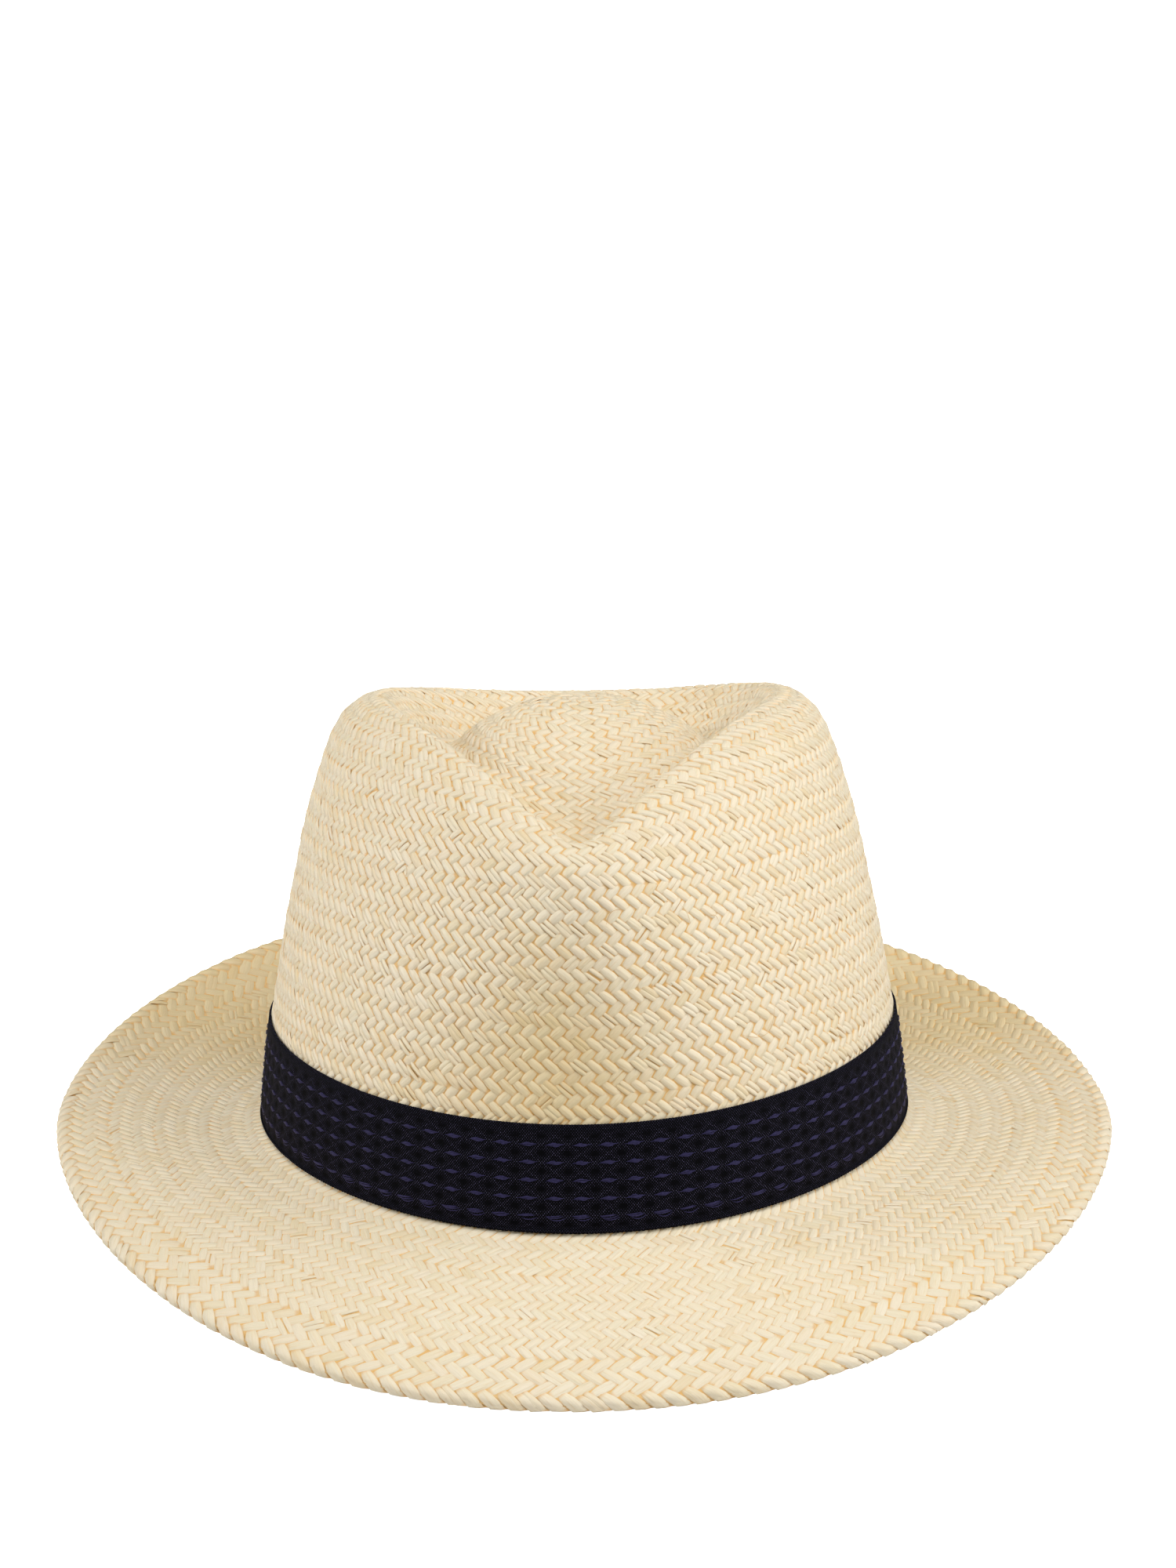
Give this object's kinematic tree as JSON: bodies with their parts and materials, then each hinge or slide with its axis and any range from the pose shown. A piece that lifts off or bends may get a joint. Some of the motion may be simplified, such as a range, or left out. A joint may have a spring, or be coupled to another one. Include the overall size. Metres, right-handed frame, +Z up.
{
  "type": "trilby panama hat",
  "caption": "Woven straw trilby with a teardrop crown, front pinch, short brim turned down in front and up behind, and a dark patterned ribbon band.",
  "frame": {"origin": "on the surface that the hat rests on, under the middle of its bounding box", "axes": "+Z up, front of the hat towards -Y, wearer's left towards +X"},
  "size_m": [0.2796, 0.3082, 0.1276],
  "materials": {
    "straw": "dry woven straw, satin",
    "ribbon": "matte woven ribbon with a raised pattern"
  },
  "bodies": {
    "root": {"straw_body": "straw", "ribbon_band": "ribbon"}
  },
  "joints": []
}
